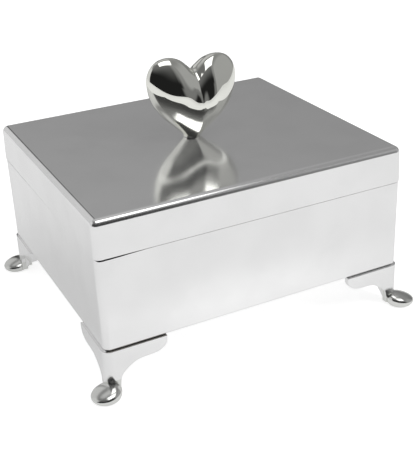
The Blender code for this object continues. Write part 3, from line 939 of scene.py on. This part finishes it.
def heart_depth(x, z, share, angle):
    """Half the heart's thickness at a place, a share of the way from its middle to its rim."""
    power = blend(*RIM_POWERS, soft_step(*RIM_CHANGE, math.sin(angle)))
    rounded = math.sqrt(max(0.0, 1 - share**power))
    lobes = sum(bell(x, z, *lobe) for lobe in LOBES)
    thinned = blend(TIP_DEPTH_SHARE, 1, soft_step(*TIP_RISE, z))
    slope = blend(BACKSLOPE, BACKSLOPE_RIGHT, soft_step(*BACKSLOPE_CHANGE, x))
    sloped = 1 - slope * (z - BACKSLOPE_LEVEL)
    depth = HEART_DEPTH * (HEART_CORE_SHARE + LOBE_SHARE * lobes) * thinned * sloped
    depth += sum(height * bell(x, z, *place) for height, place in FILLS)
    return depth * rounded


def heart_columns(outline):
    """For each direction, the two faces' lines from the middle out, and the point on the rim."""
    middle_x, middle_z = HEART_MIDDLE
    for sector in range(HEART_SECTORS):
        angle = math.tau * sector / HEART_SECTORS - math.pi / 2
        reach = outline_reach(outline, angle)
        line = []
        for ring in range(1, HEART_RINGS):
            share = math.sin(math.pi / 2 * ring / HEART_RINGS) ** HEART_RING_POWER
            x = middle_x + reach * share * math.cos(angle)
            z = middle_z + reach * share * math.sin(angle)
            line.append((x, heart_depth(x, z, share, angle), z))
        rim = (middle_x + reach * math.cos(angle), 0, middle_z + reach * math.sin(angle))
        yield line, rim


def heart_shape():
    """Both faces of the heart, as rings from its middle out to its rim."""
    shape = bmesh.new()
    columns = list(heart_columns(heart_outline()))
    rims = [shape.verts.new(rim) for line, rim in columns]
    middle_x, middle_z = HEART_MIDDLE
    top = heart_depth(middle_x, middle_z, 0, 0)
    for side in (-1, 1):
        pole = shape.verts.new((middle_x, side * top, middle_z))
        lines = [
            [*(shape.verts.new((x, side * y, z)) for x, y, z in line), rim]
            for (line, place), rim in zip(columns, rims)
        ]
        for here, there in zip(lines, [*lines[1:], lines[0]]):
            shape.faces.new((pole, here[0], there[0]))
            for index in range(len(here) - 1):
                shape.faces.new((here[index], here[index + 1], there[index + 1], there[index]))
    bmesh.ops.rotate(shape, matrix=Matrix.Rotation(HEART_LEAN, 3, "Y"), verts=shape.verts)
    return shape


def heart_collar():
    """The small waisted foot under the heart's tip."""
    profile = [(COLLAR_WAIST * out, COLLAR_HEIGHT * up) for out, up in COLLAR_PLUG_SHARES]
    for step in range(COLLAR_STEPS + 1):
        share = step / COLLAR_STEPS
        waist = blend(COLLAR_WAIST, COLLAR_RADIUS, share**2)
        profile.append((waist, blend(COLLAR_HEIGHT, COLLAR_RIM_HEIGHT, share)))
    profile.append((COLLAR_RADIUS - COLLAR_EDGE, COLLAR_BASE + COLLAR_EDGE))
    profile.append((COLLAR_RADIUS - COLLAR_UNDERCUT, COLLAR_BASE))
    profile.append((0, COLLAR_BASE))
    return turned(profile, HOLE_STEPS)


def make_heart():
    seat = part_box("heart_finial")[0].z
    reach = HEART_WIDTH
    heart = combined(
        "heart",
        heart_shape(),
        [
            ("DIFFERENCE", block((-reach, -reach, -reach), (reach, reach, HEART_CUT_LEVEL))),
            ("UNION", heart_collar()),
            ("DIFFERENCE", cylinder(SCREW_HOLE_RADIUS, -OVERRUN, HEART_BORE_DEPTH, HOLE_STEPS)),
        ],
    )
    heart.data.transform(Matrix.Translation((0, 0, seat)))
    smooth(heart, ROUND_SMOOTH_ANGLE)
    dress(heart, BRIGHT, "lid", "silver_plate", "heart_finial")


# Hinge

def along_x(shape):
    """Lays an upright shape along X."""
    bmesh.ops.rotate(shape, matrix=Matrix.Rotation(math.pi / 2, 3, "Y"), verts=shape.verts)
    return shape


def leaf_outline(half, low, high, round_top):
    """A leaf's rectangle with its two far corners rounded."""
    corners = ((-half, high), (half, high)) if round_top else ((half, low), (-half, low))
    outline = []
    for index, (x, z) in enumerate(corners):
        start = math.pi if round_top else 0
        for step in range(LEAF_CORNER_STEPS + 1):
            angle = start - math.pi / 2 * (index + step / LEAF_CORNER_STEPS)
            centre_x = x - math.copysign(LEAF_CORNER, x)
            centre_z = z - LEAF_CORNER if round_top else z + LEAF_CORNER
            across, up = LEAF_CORNER * math.cos(angle), LEAF_CORNER * math.sin(angle)
            outline.append((centre_x + across, centre_z + up))
    if round_top:
        return [*outline, (half, low), (-half, low)]
    return [*outline, (-half, high), (half, high)]


def leaf_plate(half, up, inner_y):
    """The flat part of a leaf, standing against the wall."""
    low, high = sorted((up * LEAF_RELIEF, up * LEAF_REACH))
    base = plate(leaf_outline(half, low, high, up > 0), LEAF_THICKNESS, HINGE_EDGE)
    turn = Matrix.Rotation(math.pi / 2, 4, "X")
    shift = Matrix.Translation((0, inner_y + LEAF_THICKNESS / 2, 0))
    bmesh.ops.transform(base, matrix=shift @ turn, verts=base.verts)
    return base


def knuckle(start, end, up, inner_y, heels):
    """The shapes of one knuckle: its neck, its barrel and, on the lid's leaf, its stop heel."""
    low, high = sorted((0, up * (LEAF_RELIEF + LEAF_THICKNESS)))
    shapes = [block((start, inner_y, low), (end, inner_y + LEAF_THICKNESS, high))]
    barrel = along_x(cylinder(KNUCKLE_RADIUS, start, end, HINGE_STEPS))
    ends = [edge for edge in barrel.edges if abs(edge_run(edge).x) < WELD_DISTANCE]
    bevel(barrel, ends, HINGE_EDGE, HINGE_EDGE_STEPS)
    shapes.append(barrel)
    if heels:
        heel = block((start, 0, -HEEL_BELOW), (end, HEEL_LENGTH, HEEL_ABOVE))
        bevel(heel, list(heel.edges), HINGE_EDGE, HINGE_EDGE_STEPS)
        shapes.append(heel)
    return shapes


def hinge_leaf(name, rows, up, inner_y, heels, half):
    """A leaf with its knuckles, about the hinge's axis; up is 1 for the lid's leaf."""
    base = leaf_plate(half, up, inner_y)
    pitch = 2 * half / HINGE_KNUCKLES
    others = []
    for row in rows:
        start = -half + row * pitch + KNUCKLE_GAP / 2
        end = start + pitch - KNUCKLE_GAP
        others += [("UNION", shape) for shape in knuckle(start, end, up, inner_y, heels)]
    bore = along_x(cylinder(PIN_BORE_RADIUS, -half - OVERRUN, half + OVERRUN, HINGE_STEPS))
    others.append(("DIFFERENCE", bore))
    return combined(name, base, others)


def make_hinge():
    low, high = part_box("hinge_pin")
    axis = (low + high) / 2
    for name, node, rows, up, body, heels in (
        ("hinge_case_leaf", "hinge_body_leaf", range(0, HINGE_KNUCKLES, 2), -1, "case", False),
        ("hinge_cover_leaf", "hinge_lid_leaf", range(1, HINGE_KNUCKLES, 2), 1, "lid", True),
    ):
        leaf = hinge_leaf(name, rows, up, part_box(node)[0].y - axis.y, heels, high.x)
        leaf.data.transform(Matrix.Translation(axis))
        smooth(leaf)
        dress(leaf, PLATE, body, "silver_plate", node)


# Lining

def slice_board(shape, low, high, wide):
    """Cuts a board's faces into small cells."""
    for axis in wide:
        normal = Vector((0, 0, 0))
        normal[axis] = 1
        length = high[axis] - low[axis]
        count = int(length / BOARD_CELL)
        for cut in range(1, count):
            place = low.copy()
            place[axis] += length * cut / count
            slice_across(shape, place, normal)


def swell_board(shape, low, high, thin, wide, crown):
    """Ripples both faces and crowns the one that the crown's sign names."""
    middle = (low[thin] + high[thin]) / 2
    for vert in shape.verts:
        side = vert.co[thin] - middle
        inwards = min(min(vert.co[axis] - low[axis], high[axis] - vert.co[axis]) for axis in wide)
        wave = noise.noise(vert.co * RIPPLES_PER_METRE)
        ripple = BOARD_RIPPLE * wave * soft_step(0, BOARD_CELL, inwards)
        vert.co[thin] += math.copysign(1, side) * ripple
        if crown and side * crown > 0:
            drop = abs(crown) * (1 - soft_step(0, PAD_CROWN_REACH, inwards))
            vert.co[thin] -= math.copysign(drop, side)


def soft_board(name, node, body, corner=0, crown=0):
    """A velvet-covered board: rounded edges, a slight ripple and, on a padded one, a crown."""
    low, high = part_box(node)
    size = high - low
    thin = min(range(3), key=lambda axis: size[axis])
    wide = [axis for axis in range(3) if axis != thin]
    shape = block(low, high)
    if corner:
        uprights = [edge for edge in shape.edges if upright(edge)]
        bevel(shape, uprights, corner, BOARD_CORNER_STEPS)
    edge_radius = min(BOARD_EDGE, size[thin] * BOARD_EDGE_SHARE)
    bevel(shape, list(shape.edges), edge_radius, BOARD_EDGE_STEPS)
    slice_board(shape, low, high, wide)
    swell_board(shape, low, high, thin, wide, crown)
    board = smooth(add_object(name, shape), BOARD_SMOOTH_ANGLE)
    dress(board, VELVET, body, "velvet", node)
    return board


def make_lining():
    soft_board("velvet_floor", "lining_floor", "case", crown=PAD_CROWN)
    for side in ("front", "back", "left", "right"):
        soft_board(f"velvet_{side}", f"lining_{side}", "case")
    corner, crown = CORNER_RADIUS - WALL, -PAD_CROWN / 2
    soft_board("velvet_lid", "lid_lining", "lid", corner, crown)


def keep_small_parts():
    """The screws, the washer and the pin keep their own shapes and get turned steel."""
    for name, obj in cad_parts.items():
        if "screw" in name or name in ("finial_washer", "hinge_pin"):
            obj.data.materials.clear()
            obj.data.materials.append(STEEL)
            shade_smooth(obj)


# Studio

def painted_pool_glow(nodes):
    """How brightly the floor glows in mirrors, with its painted pools of light and shadow, place
    by place.
    """
    place = nodes.add("ShaderNodeTexCoord").outputs["Object"]
    glow = MIRROR_GLOW
    for centre, reach, change in PAINTED_POOLS:
        offset = nodes.vector("SUBTRACT", place, (*centre, 0)).outputs[0]
        shares = nodes.vector("DIVIDE", offset, (*reach, 1)).outputs[0]
        away = nodes.vector("LENGTH", shares).outputs["Value"]
        glow = nodes.math("ADD", glow, nodes.between(away, 0, 1, change, 0))
    return glow


def floor_material():
    """Matte and pale, white in camera rays, with painted pools of light and shadow in mirrors."""
    material, nodes, shader = new_material("pale_floor")
    nodes.tree.nodes.remove(shader)
    output = nodes.tree.nodes["Material Output"]
    rays = nodes.add("ShaderNodeLightPath").outputs
    mirrored = nodes.math("MAXIMUM", rays["Is Glossy Ray"], rays["Is Transmission Ray"])
    seen = nodes.math("MULTIPLY", rays["Is Camera Ray"], CAMERA_GLOW)
    glow = nodes.math("ADD", seen, nodes.math("MULTIPLY", mirrored, painted_pool_glow(nodes)))
    bright = nodes.add("ShaderNodeEmission", {"Strength": glow})
    tint = nodes.mix(mirrored, FLOOR_COLOUR, FLOOR_COLOUR_IN_MIRRORS)
    matte = nodes.add("ShaderNodeBsdfDiffuse", {"Color": tint})
    both = nodes.add("ShaderNodeAddShader", {0: bright.outputs[0], 1: matte.outputs[0]})
    nodes.feed(output.inputs["Surface"], both.outputs[0])
    return material


def make_floor():
    shape = bmesh.new()
    bmesh.ops.create_grid(
        shape, x_segments=FLOOR_CELLS, y_segments=FLOOR_CELLS, size=FLOOR_SIZE / 2
    )
    floor = add_object("studio_floor", shape)
    floor.data.materials.append(floor_material())


class Room:
    """Masks and tones over the directions from which the world's light comes."""

    def __init__(self, nodes):
        self.nodes = nodes
        place = nodes.add("ShaderNodeTexCoord").outputs["Generated"]
        self.x, self.y, self.z = nodes.add("ShaderNodeSeparateXYZ", {0: place}).outputs
        squares = [nodes.math("MULTIPLY", part, part) for part in (self.x, self.y)]
        level = nodes.math("SQRT", nodes.math("ADD", *squares))
        self.level = nodes.math("MAXIMUM", level, LEAST_LEVEL)
        rise = nodes.math("MAXIMUM", self.z, LEAST_RISE)
        self.across = nodes.math("DIVIDE", self.x, rise)
        self.deep = nodes.math("DIVIDE", self.y, rise)

    def towards(self, azimuth):
        """How far a direction points to an azimuth, from 1 to -1."""
        angle = CAMERA_AZIMUTH + math.radians(azimuth)
        right = self.nodes.math("MULTIPLY", self.x, math.sin(angle))
        ahead = self.nodes.math("MULTIPLY", self.y, -math.cos(angle))
        return self.nodes.math("DIVIDE", self.nodes.math("ADD", right, ahead), self.level)

    def rising(self, elevations, first=0.0, second=1.0):
        """Goes from one value to another between two elevations."""
        low, high = (math.sin(math.radians(degrees)) for degrees in elevations)
        return self.nodes.between(self.z, low, high, first, second)

    def wall(self, azimuth, reach, edge, foot=None, top=None):
        """A mask of 1 inside a wall and 0 outside it."""
        inner, outer = (math.cos(math.radians(angle)) for angle in (reach - edge, reach + edge))
        mask = self.nodes.between(self.towards(azimuth), outer, inner)
        if foot:
            mask = self.nodes.math("MULTIPLY", mask, self.rising(foot))
        if top:
            mask = self.nodes.math("MULTIPLY", mask, self.rising(top, 1.0, 0.0))
        return mask

    def panel(self, across, deep, edge):
        """A mask of a rectangle on the ceiling."""
        mask = self.nodes.between(self.z, *CEILING_RISE)
        for value, (low, high) in ((self.across, across), (self.deep, deep)):
            near = self.nodes.between(value, low - edge, low + edge)
            far = self.nodes.between(value, high - edge, high + edge, 1.0, 0.0)
            mask = self.nodes.math("MULTIPLY", self.nodes.math("MULTIPLY", mask, near), far)
        return mask

    def tone(self):
        """All the walls laid over each other, and the panels over them."""
        lean = self.nodes.math("MULTIPLY", self.towards(ROOM_LEAN_AZIMUTH), ROOM_LEAN)
        lean = self.nodes.math("ADD", lean, 1.0)
        tone = self.nodes.math("MULTIPLY", self.rising(ROOM_RISE, *ROOM_TONES), lean)
        for level, place in WALLS:
            tone = self.nodes.blend(self.wall(**place), tone, level)
        dark = 0.0
        for place in DARK_WALLS:
            dark = self.nodes.math("MAXIMUM", dark, self.wall(**place))
        tone = self.nodes.blend(dark, tone, DARK_TONE)
        for brightness, across, deep, edge in PANELS:
            lit = self.nodes.math("MULTIPLY", self.panel(across, deep, edge), brightness)
            tone = self.nodes.math("MAXIMUM", tone, lit)
        return tone


def make_world():
    """White to the camera; in mirrors a grey room, lit overhead and dark on the camera's side."""
    world = bpy.data.worlds.new("studio")
    bpy.context.scene.world = world
    world.use_nodes = True
    nodes = Nodes(world.node_tree)
    background = world.node_tree.nodes["Background"]
    background.inputs["Color"].default_value = (1, 1, 1, 1)
    rays = nodes.add("ShaderNodeLightPath").outputs
    strength = nodes.blend(rays["Is Camera Ray"], Room(nodes).tone(), 1.0)
    nodes.feed(background.inputs["Strength"], strength)


def make_lamps():
    for name, place, size, power in LAMPS:
        data = bpy.data.lights.new(name, "AREA")
        data.shape = "SQUARE"
        data.size = size
        data.energy = power
        lamp = linked(name, data)
        lamp.location = place
        aim = LAMP_AIM - Vector(place)
        lamp.rotation_euler = aim.to_track_quat("-Z", "Y").to_euler()
        lamp.visible_glossy = False


def make_camera():
    """Stands where the photo was taken; away points back from the box to the camera."""
    level = math.cos(CAMERA_ELEVATION)
    away = Vector(
        (
            math.sin(CAMERA_AZIMUTH) * level,
            -math.cos(CAMERA_AZIMUTH) * level,
            math.sin(CAMERA_ELEVATION),
        )
    )
    right = Vector((0, 0, 1)).cross(away).normalized()
    up = away.cross(right)
    cos, sin = math.cos(CAMERA_ROLL), math.sin(CAMERA_ROLL)
    rolled_right = cos * right + sin * up
    rolled_up = cos * up - sin * right
    data = bpy.data.cameras.new("camera")
    data.lens = CAMERA_LENS
    data.shift_x, data.shift_y = CAMERA_SHIFT
    data.clip_start = CAMERA_CLIP_START
    camera = linked("camera", data)
    basis = Matrix((rolled_right, rolled_up, away)).transposed().to_4x4()
    camera.matrix_world = Matrix.Translation(CAMERA_PLACE) @ basis
    bpy.context.scene.camera = camera


make_camera()
make_body()
make_lid()
make_feet()
make_heart()
make_hinge()
make_lining()
keep_small_parts()
make_floor()
make_world()
make_lamps()
bpy.context.scene.view_settings.view_transform = "Standard"
